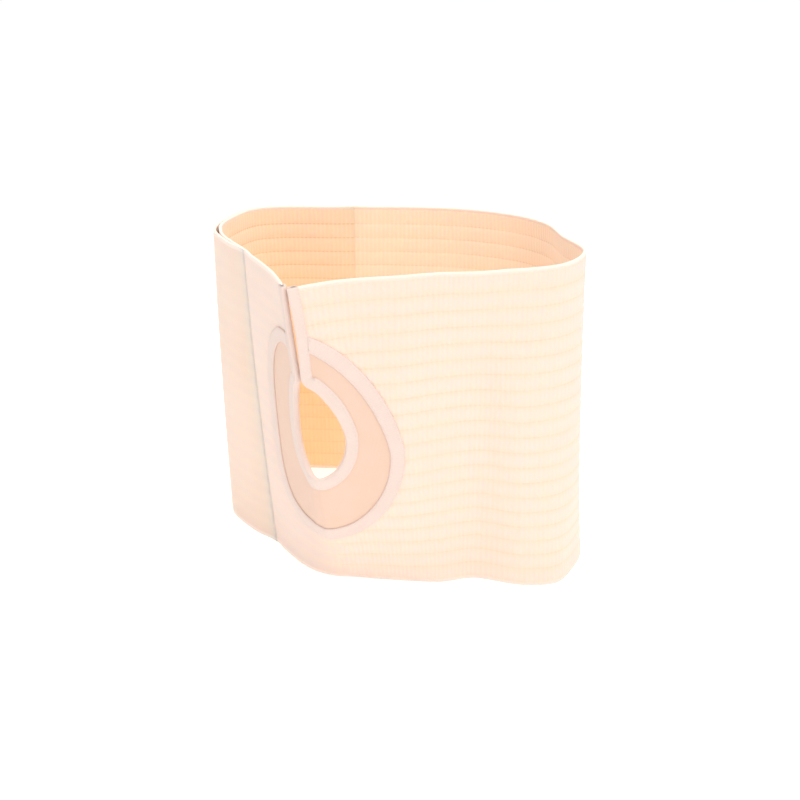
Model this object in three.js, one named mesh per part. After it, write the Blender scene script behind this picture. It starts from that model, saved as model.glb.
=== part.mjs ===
// Hernia support belt: a wide ribbed elastic band, closed into a ring that stands on its lower edge.
// A slit runs down from the upper edge to a bound opening. A smooth knit panel surrounds the opening,
// and a sewn tape joins the panel to the band. The band's ends overlap on the left and are closed by
// a hidden hook and loop fastener between the two layers.
//
// Millimetres. X to the right, Y to the back, Z up, with the origin on the floor under the middle
// of the belt's box. A place on the cloth is given by three numbers: "along" the band from the slit
// (positive to the right), "up" from the lower edge, and "out" from the middle of the wall.

import * as THREE from "three";

// Driving sizes of the band
const ringWidth = 300;
const ringDepth = 250;
const bandHeight = 260;
const bandThickness = 2.4;
const ribCount = 20;
const edgeRibShare = 1.25;
const grooveDepth = 0.55;
const innerEndFromSlit = 345;
const outerEndFromSlit = 100;
const layerEaseLength = 20;

// Driving sizes of the hidden fastener
const fastenerThickness = 1.0;
const fastenerLength = 42;
const fastenerEdgeMargin = 8;
const fastenerEndMargin = 20;

// Driving sizes of the slit, the opening and their binding
const slitGap = 2.4;
const filletRadius = 11;
const bindingThickness = 0.7;
const slitBindingWidth = 7.5;
const openingBindingWidth = 9.5;

// The opening's middle above the lower edge, and how far it reaches each way
const openingMiddle = 140;
const openingReach = { right: 26, left: 22, rightTop: 49, leftTop: 49, bottom: 32 };
const openingFullness = { rightTop: 1.5, leftTop: 1.8, leftBottom: 2.2, rightBottom: 2 };

// The seam between the panel and the band, with the tape that covers it on both faces
const seamMiddle = 123;
const seamReach = { right: 63.5, left: 66, rightTop: 99, leftTop: 94, bottom: 70 };
const seamFullness = { rightTop: 1.5, leftTop: 3.2, leftBottom: 3, rightBottom: 2 };
const seamTapeWidth = 11;
const seamTapeThickness = 0.7;
const seamWebThickness = 0.7;
const panelThickness = 1.8;

// Clear distances between pieces
const clearance = 0.3;
const facetAllowance = 0.95;
const layerAllowance = 0.3;
const seamCutAllowance = 1.4;
const slantAllowance = 0.15;

// One row for each section round the ring, from the back round the left to the front and the right.
// Each gives its place at the rim, at half height and at the foot, as shares of the ring's width and
// depth, and the number of steps to the next section.
const sections = [
  { name: "back", rim: [-0.143, 0.500], waist: [-0.143, 0.508], foot: [-0.143, 0.500], steps: 1 },
  { name: "back_left", rim: [-0.360, 0.508], waist: [-0.360, 0.516], foot: [-0.360, 0.508], steps: 1 },
  { name: "back_corner", rim: [-0.433, 0.472], waist: [-0.433, 0.476], foot: [-0.433, 0.468], steps: 2 },
  { name: "left_back", rim: [-0.490, 0.312], waist: [-0.490, 0.304], foot: [-0.490, 0.296], steps: 1 },
  { name: "left_corner", rim: [-0.500, 0.168], waist: [-0.503, 0.160], foot: [-0.497, 0.156], steps: 2 },
  { name: "left_bend", rim: [-0.473, 0.072], waist: [-0.468, 0.068], foot: [-0.457, 0.072], steps: 2 },
  { name: "left_front", rim: [-0.393, -0.108], waist: [-0.377, -0.084], foot: [-0.347, -0.080], steps: 2 },
  { name: "prow_left", rim: [-0.308, -0.310], waist: [-0.284, -0.272], foot: [-0.268, -0.210], steps: 1 },
  { name: "flap_left", rim: [-0.280, -0.388], waist: [-0.243, -0.362], foot: [-0.222, -0.260], steps: 1 },
  { name: "slit", rim: [-0.263, -0.428], waist: [-0.214, -0.420], foot: [-0.177, -0.284], steps: 1 },
  { name: "flap_right", rim: [-0.215, -0.404], waist: [-0.166, -0.412], foot: [-0.120, -0.292], steps: 1 },
  { name: "panel_side", rim: [-0.127, -0.384], waist: [-0.093, -0.392], foot: [-0.053, -0.304], steps: 1 },
  { name: "front_left", rim: [0.003, -0.368], waist: [0.007, -0.384], foot: [0.033, -0.316], steps: 1 },
  { name: "front_middle", rim: [0.100, -0.356], waist: [0.100, -0.350], foot: [0.113, -0.322], steps: 1 },
  { name: "front_valley", rim: [0.193, -0.346], waist: [0.200, -0.320], foot: [0.200, -0.298], steps: 1 },
  { name: "front_ridge", rim: [0.300, -0.308], waist: [0.307, -0.344], foot: [0.327, -0.340], steps: 1 },
  { name: "front_right", rim: [0.390, -0.262], waist: [0.400, -0.308], foot: [0.420, -0.328], steps: 2 },
  { name: "right_turn", rim: [0.447, -0.176], waist: [0.455, -0.240], foot: [0.463, -0.262], steps: 2 },
  { name: "right", rim: [0.472, -0.088], waist: [0.482, -0.108], foot: [0.508, -0.136], steps: 2 },
  { name: "right_dent", rim: [0.437, 0.080], waist: [0.460, 0.080], foot: [0.487, 0.060], steps: 1 },
  { name: "right_back", rim: [0.413, 0.240], waist: [0.440, 0.240], foot: [0.457, 0.232], steps: 1 },
  { name: "back_right", rim: [0.347, 0.356], waist: [0.370, 0.368], foot: [0.373, 0.360], steps: 2 },
  { name: "back_slope", rim: [0.200, 0.460], waist: [0.213, 0.468], foot: [0.213, 0.464], steps: 1 },
  { name: "back_middle", rim: [0.033, 0.496], waist: [0.033, 0.504], foot: [0.033, 0.500], steps: 1 },
];

// Sizes that follow from the driving ones
const ribPitch = bandHeight / (ribCount - 2 + 2 * edgeRibShare);
const layerStep = bandThickness + fastenerThickness + 2 * (clearance + layerAllowance);
const slitHalf = slitGap / 2;
const clothEdgeFromBinding = bindingThickness + clearance;
const flangeInside = bandThickness / 2 + clearance + facetAllowance;
const seamWebHalf = seamWebThickness / 2;
const panelEdgeFromSeam = seamWebHalf + clearance + slantAllowance;
const bandEdgeFromSeam = seamWebHalf + seamCutAllowance;
const slitClothEdge = slitHalf + clothEdgeFromBinding;
const besideBinding = slitHalf + slitBindingWidth + clearance;
const cutBottom = seamMiddle - seamReach.bottom - bandEdgeFromSeam;
const keyholeZoneMargin = 14;

// How finely the shapes are divided
const rowSnap = 1.2;
const tipRowStep = 1.6;
const samplesPerSection = 48;
const riseSteps = 16;
const slitSteps = 8;
const filletSteps = 4;
const openingSteps = 10;
const searchRounds = 40;
const nudgeSamples = 0.25;

// Columns beside the keyhole, as shares of the way from its edge to the end of its zone
const zoneShares = [0, 0.05, 0.12, 0.22, 0.36, 0.54, 0.76, 1];

// Rings of the panel, as shares of the way from the binding to the panel's outer edge
const panelShares = [0.4, 0.8, 1];

// The three closed lines that the wall follows
function closedLine(level) {
  const points = sections.map(
    (section) => new THREE.Vector3(section[level][0] * ringWidth, section[level][1] * ringDepth, 0),
  );
  const line = new THREE.CatmullRomCurve3(points, true, "centripetal");
  line.arcLengthDivisions = sections.length * samplesPerSection;
  return line;
}

const rimLine = closedLine("rim");
const waistLine = closedLine("waist");
const footLine = closedLine("foot");
const waistLengths = waistLine.getLengths();
const lapLength = waistLine.getLength();
const slitSection = sections.findIndex((section) => section.name === "slit");
const slitLength = waistLengths[slitSection * samplesPerSection];

// Distance along the band from the slit to a section, or to a fraction of the way past it
function alongAtSection(section) {
  const sample = Math.round(section * samplesPerSection);
  return waistLengths[sample] - slitLength;
}

// Distances along the band of every section and of the steps between them
function sectionColumns() {
  return sections.flatMap((section, index) => {
    const steps = Array.from({ length: section.steps }, (none, step) => step / section.steps);
    return steps.map((share) => alongAtSection(index + share));
  });
}

function wrap(value) {
  return value - Math.floor(value);
}

function turnAt(along) {
  return waistLine.getUtoTmapping(wrap((along + slitLength) / lapLength));
}

// Plan position at a height, on the parabola through foot, waist and rim
function planPoint(turn, up) {
  const level = up / bandHeight;
  const rim = rimLine.getPoint(wrap(turn));
  const waist = waistLine.getPoint(wrap(turn));
  const foot = footLine.getPoint(wrap(turn));
  return foot.multiplyScalar((1 - level) * (1 - 2 * level))
    .add(waist.multiplyScalar(4 * level * (1 - level)))
    .add(rim.multiplyScalar(level * (2 * level - 1)));
}

// Height above the floor: a leaning wall keeps its length, so it rises less
function riseAt(turn, up) {
  let rise = 0;
  let below = planPoint(turn, 0);
  for (let step = 1; step <= riseSteps; step += 1) {
    const above = planPoint(turn, (up * step) / riseSteps);
    rise += Math.sqrt(Math.max((up / riseSteps) ** 2 - above.distanceToSquared(below), 0));
    below = above;
  }
  return rise;
}

function smoothStep(share) {
  const held = Math.min(Math.max(share, 0), 1);
  return held * held * (3 - 2 * held);
}

// Where two layers overlap, one lies half a step inside the ring line and the other half outside it
function layerOut(along) {
  const leavesInner = smoothStep((along + outerEndFromSlit) / layerEaseLength);
  const meetsOuter = smoothStep((along - lapLength + innerEndFromSlit + layerEaseLength) / layerEaseLength);
  return (layerStep / 2) * (leavesInner - 1 + meetsOuter);
}

// A point of the cloth as a point in space
function clothPoint(along, up, out) {
  const turn = turnAt(along);
  const nudge = nudgeSamples / (sections.length * samplesPerSection);
  const place = planPoint(turn, up);
  const heading = planPoint(turn + nudge, up).sub(planPoint(turn - nudge, up)).normalize();
  const away = out + layerOut(along);
  return [place.x + heading.y * away, place.y - heading.x * away, riseAt(turn, up)];
}

// An oval whose four quarters have their own reach and fullness. The angle starts at the right and
// turns upwards. It gives a point relative to the oval's middle and the direction away from it.
function ovalPoint(reach, fullness, grow, angle) {
  const toRight = Math.cos(angle) >= 0;
  const toTop = Math.sin(angle) >= 0;
  const side = toRight ? "right" : "left";
  const across = reach[side] + grow;
  const upward = (toTop ? reach[`${side}Top`] : reach.bottom) + grow;
  const power = fullness[side + (toTop ? "Top" : "Bottom")];
  const x = Math.abs(Math.cos(angle)) ** (2 / power);
  const y = Math.abs(Math.sin(angle)) ** (2 / power);
  const slopeX = x ** (power - 1) / across;
  const slopeY = y ** (power - 1) / upward;
  const size = Math.hypot(slopeX, slopeY);
  const signX = toRight ? 1 : -1;
  const signY = toTop ? 1 : -1;
  return {
    along: signX * across * x,
    up: signY * upward * y,
    awayAlong: (signX * slopeX) / size,
    awayUp: (signY * slopeY) / size,
  };
}

// Half the width of the seam oval at a height, on one side
function seamHalfWidth(up, side, grow) {
  const above = up >= seamMiddle;
  const upward = (above ? seamReach[`${side}Top`] : seamReach.bottom) + grow;
  const power = seamFullness[side + (above ? "Top" : "Bottom")];
  const share = Math.min(Math.abs(up - seamMiddle) / upward, 1);
  return (seamReach[side] + grow) * (1 - share ** power) ** (1 / power);
}

// Height on the upper part of the seam oval at a distance from the slit, on one side
function seamTopAt(along, side, grow) {
  const power = seamFullness[`${side}Top`];
  const share = along / (seamReach[side] + grow);
  return seamMiddle + (seamReach[`${side}Top`] + grow) * (1 - share ** power) ** (1 / power);
}

// One side of the keyhole's edge, from the rim down the slit, round a fillet and down the opening.
// Each point has the direction into the cloth and the width of the binding there.
function keyholeSide(side) {
  const sign = side === "right" ? 1 : -1;
  const middleAngle = side === "right" ? 0 : Math.PI;
  const onOpening = (share) => {
    const angle = middleAngle + sign * (Math.PI / 2) * (1 - 2 * share);
    return ovalPoint(openingReach, openingFullness, 0, angle);
  };
  let early = 0;
  let late = 0.5;
  for (let round = 0; round < searchRounds; round += 1) {
    const share = (early + late) / 2;
    const point = onOpening(share);
    const reached = sign * (point.along + filletRadius * point.awayAlong);
    if (reached < slitHalf + filletRadius) {
      early = share;
    } else {
      late = share;
    }
  }
  const meet = onOpening(late);
  const filletUp = openingMiddle + meet.up + filletRadius * meet.awayUp;
  const filletTurn = Math.acos(Math.min(sign * meet.awayAlong, 1));
  const points = [];
  for (let step = 0; step < slitSteps; step += 1) {
    points.push({
      along: sign * slitHalf,
      up: bandHeight + ((filletUp - bandHeight) * step) / slitSteps,
      awayAlong: sign,
      awayUp: 0,
      width: slitBindingWidth,
    });
  }
  for (let step = 0; step < filletSteps; step += 1) {
    const angle = (filletTurn * step) / filletSteps;
    points.push({
      along: sign * (slitHalf + filletRadius * (1 - Math.cos(angle))),
      up: filletUp - filletRadius * Math.sin(angle),
      awayAlong: sign * Math.cos(angle),
      awayUp: Math.sin(angle),
      width: slitBindingWidth + ((openingBindingWidth - slitBindingWidth) * step) / filletSteps,
    });
  }
  for (let step = 0; step <= openingSteps; step += 1) {
    const point = onOpening(late + ((1 - late) * step) / openingSteps);
    points.push({ ...point, up: openingMiddle + point.up, width: openingBindingWidth });
  }
  return points;
}

const keyholeRight = keyholeSide("right");
const keyholeLeft = keyholeSide("left");
const keyholeEdge = [...keyholeRight, ...keyholeLeft.slice(0, -1).reverse()];

// A closed mesh under construction, in cloth places
class ClothSolid {
  constructor(name, color, roughness) {
    this.name = name;
    this.color = color;
    this.roughness = roughness;
    this.positions = [];
    this.triangles = [];
  }

  vertex(along, up, out) {
    this.positions.push(...clothPoint(along, up, out));
    return this.positions.length / 3 - 1;
  }

  quad(a, b, c, d) {
    this.triangle(a, b, c);
    this.triangle(a, c, d);
  }

  triangle(a, b, c) {
    if (a !== b && b !== c && c !== a) {
      this.triangles.push(a, b, c);
    }
  }

  mesh() {
    const geometry = new THREE.BufferGeometry();
    geometry.setAttribute("position", new THREE.Float32BufferAttribute(this.positions, 3));
    geometry.setIndex(this.triangles);
    geometry.computeVertexNormals();
    const material = new THREE.MeshStandardMaterial({
      color: this.color,
      roughness: this.roughness,
      metalness: 0,
    });
    const mesh = new THREE.Mesh(geometry, material);
    mesh.name = this.name;
    return mesh;
  }
}

// A wall from a grid of columns: each column is a list of cloth places from low to high, each with
// half its thickness. The wall's front looks outwards when the columns run to the right.
function addSheet(solid, columns, isCut) {
  const corner = new Map();
  const cornerAt = (place, face) => {
    const key = `${place.along.toFixed(6)} ${place.up.toFixed(6)} ${face}`;
    if (!corner.has(key)) {
      corner.set(key, solid.vertex(place.along, place.up, place.middle + face * place.half));
    }
    return corner.get(key);
  };
  const sides = new Map();
  const addSide = (low, high) => {
    const key = `${low} ${high}`;
    const back = `${high} ${low}`;
    if (sides.has(back)) {
      sides.delete(back);
    } else {
      sides.set(key, [low, high]);
    }
  };
  for (let column = 0; column + 1 < columns.length; column += 1) {
    for (let row = 0; row + 1 < columns[column].length; row += 1) {
      if (isCut(column)) {
        continue;
      }
      const places = [
        columns[column][row],
        columns[column + 1][row],
        columns[column + 1][row + 1],
        columns[column][row + 1],
      ];
      const front = places.map((place) => cornerAt(place, 1));
      const back = places.map((place) => cornerAt(place, -1));
      solid.quad(...front);
      solid.quad(back[3], back[2], back[1], back[0]);
      for (let side = 0; side < 4; side += 1) {
        const next = (side + 1) % 4;
        if (front[side] !== front[next]) {
          addSide(`${front[side]}:${back[side]}`, `${front[next]}:${back[next]}`);
        }
      }
    }
  }
  for (const [start, end] of sides.values()) {
    const [frontStart, backStart] = start.split(":").map(Number);
    const [frontEnd, backEnd] = end.split(":").map(Number);
    solid.quad(frontStart, backStart, backEnd, frontEnd);
  }
}

// A solid whose section, a closed outline, is carried along a list of stations. The section is listed
// clockwise as seen from its start, and the faces divide it into convex quarters for the two ends.
function addSweep(solid, stations, faces) {
  const rings = stations.map((station) => station.map(([along, up, out]) => solid.vertex(along, up, out)));
  const count = rings[0].length;
  for (let station = 0; station + 1 < rings.length; station += 1) {
    const here = rings[station];
    const ahead = rings[station + 1];
    for (let point = 0; point < count; point += 1) {
      const next = (point + 1) % count;
      solid.quad(here[point], ahead[point], ahead[next], here[next]);
    }
  }
  const last = rings[rings.length - 1];
  for (const face of faces) {
    solid.quad(...face.map((point) => rings[0][point]));
    solid.quad(...face.map((point) => last[point]).reverse());
  }
}

// Rows of the band: a groove level at each rib's edge and a crest level at its middle
function ribRows() {
  const crest = bandThickness / 2;
  const groove = crest - grooveDepth;
  const rows = [{ up: 0, half: groove }];
  let up = 0;
  for (let rib = 0; rib < ribCount; rib += 1) {
    const isEdge = rib === 0 || rib === ribCount - 1;
    const height = isEdge ? ribPitch * edgeRibShare : ribPitch;
    rows.push({ up: up + height / 2, half: crest });
    up += height;
    rows.push({ up, half: groove });
  }
  return rows;
}

// Adds a row at a height, unless a row lies so near that it serves as well
function withRow(rows, up) {
  const nearest = rows.reduce((best, row) => (Math.abs(row.up - up) < Math.abs(best.up - up) ? row : best));
  if (Math.abs(nearest.up - up) < rowSnap) {
    return rows;
  }
  const after = rows.findIndex((row) => row.up > up);
  const below = rows[after - 1];
  const above = rows[after];
  const share = (up - below.up) / (above.up - below.up);
  const half = below.half + (above.half - below.half) * share;
  return [...rows.slice(0, after), { up, half }, ...rows.slice(after)];
}

// The band's rows, with one more at each end of its cut and a second where the cut turns fast
function bandRows() {
  const topRight = seamTopAt(slitClothEdge, "right", bandEdgeFromSeam);
  const topLeft = seamTopAt(slitClothEdge, "left", bandEdgeFromSeam);
  const wanted = [cutBottom, cutBottom + tipRowStep, topLeft - tipRowStep, topLeft, topRight];
  return wanted.reduce((rows, up) => withRow(rows, up), ribRows());
}

// How far the band's cut edge lies from the slit line at a height
function cutHalfWidth(up, side) {
  if (up < cutBottom + rowSnap / 2) {
    return 0;
  }
  return Math.max(seamHalfWidth(up, side, bandEdgeFromSeam), slitClothEdge);
}

function elasticBand() {
  const solid = new ClothSolid("elastic_band", 0xf3e3d2, 0.85);
  const rows = bandRows();
  const zoneRight = seamReach.right + keyholeZoneMargin;
  const zoneLeft = seamReach.left + keyholeZoneMargin;
  const start = -innerEndFromSlit;
  const end = lapLength - outerEndFromSlit;
  const straight = [-1, 0, 1].flatMap((lap) => sectionColumns().map((along) => along + lap * lapLength));
  const fixed = [start, -zoneLeft, zoneRight, end];
  const kept = straight.filter(
    (along) => along > start && along < end && (along < -zoneLeft || along > zoneRight)
      && fixed.every((limit) => Math.abs(along - limit) > ribPitch / 2),
  );
  const columnAt = (along) => rows.map((row) => ({ along, up: row.up, half: row.half, middle: 0 }));
  const zoneColumn = (share, side) => {
    const sign = side === "right" ? 1 : -1;
    const zone = side === "right" ? zoneRight : zoneLeft;
    return rows.map((row) => {
      const edge = cutHalfWidth(row.up, side);
      return { along: sign * (edge + (zone - edge) * share), up: row.up, half: row.half, middle: 0 };
    });
  };
  const before = [start, ...kept.filter((along) => along < 0)].sort((a, b) => a - b).map(columnAt);
  const after = [...kept.filter((along) => along > 0), end].sort((a, b) => a - b).map(columnAt);
  const left = [...zoneShares].reverse().map((share) => zoneColumn(share, "left"));
  const right = zoneShares.map((share) => zoneColumn(share, "right"));
  const columns = [...before, ...left, ...right, ...after];
  const keyhole = before.length + left.length - 1;
  addSheet(solid, columns, (column) => column === keyhole);
  return solid.mesh();
}

// Keyhole points inside the panel, each with a place on the panel's outer edge
function panelSpokes(edge, side) {
  const top = seamTopAt(besideBinding, side, -panelEdgeFromSeam);
  const inside = edge.filter((point) => point.up < top - clearance);
  const first = { ...edge[0], up: top };
  const points = [first, ...inside];
  const lengths = [0];
  for (let index = 1; index < points.length; index += 1) {
    const here = points[index];
    const before = points[index - 1];
    lengths.push(lengths[index - 1] + Math.hypot(here.along - before.along, here.up - before.up));
  }
  const total = lengths[lengths.length - 1];
  const power = seamFullness[`${side}Top`];
  const startCos = (besideBinding / (seamReach[side] - panelEdgeFromSeam)) ** (power / 2);
  const startAngle = Math.acos(startCos);
  return points.map((point, index) => {
    const turned = startAngle - ((startAngle + Math.PI / 2) * lengths[index]) / total;
    return { point, angle: side === "right" ? turned : Math.PI - turned };
  });
}

const spokesRight = panelSpokes(keyholeRight, "right");
const spokesLeft = panelSpokes(keyholeLeft, "left");
const spokes = [...spokesRight, ...spokesLeft.slice(0, -1).reverse()];

function openingPanel() {
  const solid = new ClothSolid("opening_panel", 0xeecdb9, 0.9);
  const half = panelThickness / 2;
  const columns = spokes.map(({ point, angle }) => {
    const outer = ovalPoint(seamReach, seamFullness, -panelEdgeFromSeam, angle);
    const outerUp = seamMiddle + outer.up;
    const place = (depth) => ({
      along: point.along + point.awayAlong * depth,
      up: point.up + point.awayUp * depth,
      half,
      middle: 0,
    });
    const inner = place(clothEdgeFromBinding);
    const bound = place(point.width);
    const between = (share) => ({
      along: bound.along + (outer.along - bound.along) * share,
      up: bound.up + (outerUp - bound.up) * share,
      half,
      middle: 0,
    });
    return [inner, bound, ...panelShares.map(between)];
  });
  addSheet(solid, columns, () => false);
  return solid.mesh();
}

// The binding folds over the cloth's edge: a web across the edge and a flange on each face
function openingBinding() {
  const solid = new ClothSolid("opening_binding", 0xf2e2da, 0.75);
  const inside = flangeInside;
  const outside = flangeInside + bindingThickness;
  const stations = keyholeEdge.map((point) => {
    const place = (depth, out) => [
      point.along + point.awayAlong * depth,
      point.up + point.awayUp * depth,
      out,
    ];
    return [
      place(0, -outside),
      place(0, outside),
      place(point.width, outside),
      place(point.width, inside),
      place(bindingThickness, inside),
      place(bindingThickness, -inside),
      place(point.width, -inside),
      place(point.width, -outside),
    ];
  });
  addSweep(solid, stations, [[1, 2, 3, 4], [0, 1, 4, 5], [0, 5, 6, 7]]);
  return solid.mesh();
}

// The tape over the seam: a flange on each face and a web between the panel's and the band's edges
function seamTape() {
  const solid = new ClothSolid("panel_seam_tape", 0xf2e2da, 0.75);
  const inside = flangeInside;
  const outside = flangeInside + seamTapeThickness;
  const reach = seamTapeWidth / 2;
  const section = [
    [-reach, outside],
    [reach, outside],
    [reach, inside],
    [seamWebHalf, inside],
    [seamWebHalf, -inside],
    [reach, -inside],
    [reach, -outside],
    [-reach, -outside],
    [-reach, -inside],
    [-seamWebHalf, -inside],
    [-seamWebHalf, inside],
    [-reach, inside],
  ];
  const stations = spokes.map(({ angle }, index) => {
    const point = ovalPoint(seamReach, seamFullness, 0, angle);
    const isEnd = index === 0 || index === spokes.length - 1;
    if (isEnd) {
      const side = index === 0 ? "right" : "left";
      const top = seamTopAt(besideBinding, side, 0);
      const along = side === "right" ? besideBinding : -besideBinding;
      return section.map(([grow, out]) => [along, top + grow / point.awayUp, out]);
    }
    return section.map(([grow, out]) => [
      point.along + point.awayAlong * grow,
      seamMiddle + point.up + point.awayUp * grow,
      out,
    ]);
  });
  addSweep(solid, stations, [[0, 1, 2, 3], [0, 3, 10, 11], [10, 3, 4, 9], [4, 5, 6, 7], [4, 7, 8, 9]]);
  return solid.mesh();
}

// The hidden fastener lies in the step between the two layers, near the outer end
function hiddenFastener() {
  const solid = new ClothSolid("hidden_fastener", 0xe9dccd, 0.95);
  const half = fastenerThickness / 2;
  const middle = layerStep / 2;
  const nearEnd = -outerEndFromSlit - fastenerEndMargin;
  const farEnd = nearEnd - fastenerLength;
  const grooves = ribRows().map((row) => row.up)
    .filter((up) => up > fastenerEdgeMargin && up < bandHeight - fastenerEdgeMargin)
    .filter((up, index) => index % 2 === 0);
  const inside = sectionColumns().filter((along) => along > farEnd + half && along < nearEnd - half);
  const columns = [farEnd, ...inside, nearEnd].sort((a, b) => a - b);
  addSheet(solid, columns.map((along) => grooves.map((up) => ({ along, up, half, middle }))), () => false);
  return solid.mesh();
}

const belt = new THREE.Group();
belt.add(elasticBand());
belt.add(openingPanel());
belt.add(openingBinding());
belt.add(seamTape());
belt.add(hiddenFastener());

// The origin lies on the floor, under the middle of the belt's box
const middle = new THREE.Box3().setFromObject(belt).getCenter(new THREE.Vector3());
belt.position.set(-middle.x, -middle.y, 0);
belt.updateMatrixWorld(true);

export default belt;
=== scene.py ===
"""A hernia support belt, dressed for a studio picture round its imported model.

Every cloth piece lies on one wall, and a place on that wall is given by three numbers: "along" the
band from the slit (positive to the right), "up" from the lower edge, and "out" from the middle of
the wall. All of them are metres.
"""

import logging
import math
from dataclasses import dataclass, field
from enum import Enum

import bpy
import numpy as np
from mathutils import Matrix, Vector


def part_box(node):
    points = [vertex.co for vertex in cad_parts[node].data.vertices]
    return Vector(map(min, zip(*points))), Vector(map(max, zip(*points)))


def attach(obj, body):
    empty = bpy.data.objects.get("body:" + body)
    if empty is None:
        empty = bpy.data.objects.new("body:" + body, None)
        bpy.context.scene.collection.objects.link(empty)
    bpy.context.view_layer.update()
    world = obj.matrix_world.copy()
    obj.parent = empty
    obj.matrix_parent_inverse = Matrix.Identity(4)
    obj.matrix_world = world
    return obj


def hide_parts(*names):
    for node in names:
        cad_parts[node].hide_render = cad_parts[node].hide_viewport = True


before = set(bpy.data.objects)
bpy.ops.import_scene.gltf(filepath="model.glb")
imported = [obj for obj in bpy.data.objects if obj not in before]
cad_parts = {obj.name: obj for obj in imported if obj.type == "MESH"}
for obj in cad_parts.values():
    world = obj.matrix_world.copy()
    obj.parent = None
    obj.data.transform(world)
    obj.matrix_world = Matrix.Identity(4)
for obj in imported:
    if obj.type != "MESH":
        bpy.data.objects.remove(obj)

Array = np.ndarray
Colour = tuple[float, float, float]
Place = tuple[float, float, float]
Span = tuple[float, float]
log = logging.getLogger("belt")

# The gap between neighbouring pieces, how far inside the seam line the panel ends, how thick a tape
# is at its edge, how near two places count as one, and between which noise values patches fade.
PIECE_GAP = 0.0003
PANEL_FROM_SEAM = 0.00065
TAPE_EDGE = 0.0002
TOUCHING = 1e-6
MOTTLE_SPAN = (0.3, 0.7)


class Side(Enum):
    """The two sides of the slit, each with its sign along the band."""

    RIGHT = 1
    LEFT = -1


class Weave(Enum):
    """How a tape's threads run, as threads per metre along it and across it."""

    RIBBED_TAPE = (620.0, 1100.0)
    PLAIN_TAPE = (900.0, 900.0)


# One row for each section round the ring, from the back round the left to the front and the right:
# its place at the rim, at half height and at the foot, as shares of the ring's width and depth.
SECTIONS = (
    ("back", (-0.143, 0.500), (-0.143, 0.508), (-0.143, 0.500)),
    ("back_left", (-0.360, 0.508), (-0.360, 0.516), (-0.360, 0.508)),
    ("back_corner", (-0.433, 0.472), (-0.433, 0.476), (-0.433, 0.468)),
    ("left_back", (-0.490, 0.312), (-0.490, 0.304), (-0.490, 0.296)),
    ("left_corner", (-0.500, 0.168), (-0.503, 0.160), (-0.497, 0.156)),
    ("left_bend", (-0.473, 0.072), (-0.468, 0.068), (-0.457, 0.072)),
    ("left_front", (-0.393, -0.108), (-0.377, -0.084), (-0.347, -0.080)),
    ("prow_left", (-0.308, -0.310), (-0.284, -0.272), (-0.268, -0.210)),
    ("flap_left", (-0.280, -0.388), (-0.243, -0.362), (-0.222, -0.260)),
    ("slit", (-0.263, -0.428), (-0.214, -0.420), (-0.177, -0.284)),
    ("flap_right", (-0.215, -0.404), (-0.166, -0.412), (-0.120, -0.292)),
    ("panel_side", (-0.127, -0.384), (-0.093, -0.392), (-0.053, -0.304)),
    ("front_left", (0.003, -0.368), (0.007, -0.384), (0.033, -0.316)),
    ("front_middle", (0.100, -0.356), (0.100, -0.350), (0.113, -0.322)),
    ("front_valley", (0.193, -0.346), (0.200, -0.320), (0.200, -0.298)),
    ("front_ridge", (0.300, -0.308), (0.307, -0.344), (0.327, -0.340)),
    ("front_right", (0.390, -0.262), (0.400, -0.308), (0.420, -0.328)),
    ("right_turn", (0.447, -0.176), (0.455, -0.240), (0.463, -0.262)),
    ("right", (0.472, -0.088), (0.482, -0.108), (0.508, -0.136)),
    ("right_dent", (0.437, 0.080), (0.460, 0.080), (0.487, 0.060)),
    ("right_back", (0.413, 0.240), (0.440, 0.240), (0.457, 0.232)),
    ("back_right", (0.347, 0.356), (0.370, 0.368), (0.373, 0.360)),
    ("back_slope", (0.200, 0.460), (0.213, 0.468), (0.213, 0.464)),
    ("back_middle", (0.033, 0.496), (0.033, 0.504), (0.033, 0.500)),
)


def smooth_step(share: Array | float) -> Array:
    """Eases from 0 to 1: three times the square less twice the cube of the share, held to 0 to 1.

    Args:
        share: How far along the ease each value is.

    Returns:
        The eased values.
    """
    held = np.clip(share, 0.0, 1.0)
    return held * held * (3.0 - 2.0 * held)


def path_lengths(path: Array) -> Array:
    """How far along a path each point lies: the sum of the chords before it.

    Args:
        path: One row of two coordinates for each point.

    Returns:
        One distance for each point, from 0.
    """
    chords = np.hypot(*np.diff(path, axis=0).T)
    return np.concatenate([[0.0], np.cumsum(chords)])


def closed_line(points: Array, samples: int) -> Array:
    """Samples a closed centripetal Catmull-Rom line.

    Each span is a cubic between two points. Its end slopes weigh the neighbouring chords by the
    square root of their lengths, so that the line neither loops nor overshoots.

    Args:
        points: One row of plan coordinates for each section.
        samples: How many samples each span gets.

    Returns:
        The sampled plan coordinates, one row each.
    """
    before = np.roll(points, 1, axis=0)
    ahead = np.roll(points, -1, axis=0)
    beyond = np.roll(points, -2, axis=0)
    pace = [np.sqrt(np.linalg.norm(b - a, axis=1))[:, None]
            for a, b in ((before, points), (points, ahead), (ahead, beyond))]
    leave = pace[1] * ((points - before) / pace[0] - (ahead - before) / (pace[0] + pace[1])
                       + (ahead - points) / pace[1])
    arrive = pace[1] * ((ahead - points) / pace[1] - (beyond - points) / (pace[1] + pace[2])
                        + (beyond - ahead) / pace[2])
    share = np.linspace(0.0, 1.0, samples, endpoint=False)[None, :, None]
    points, ahead, leave, arrive = (a[:, None, :] for a in (points, ahead, leave, arrive))
    cubic = ((2 * points - 2 * ahead + leave + arrive) * share**3
             + (3 * ahead - 3 * points - 2 * leave - arrive) * share**2 + leave * share + points)
    return cubic.reshape(-1, 2)


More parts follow.
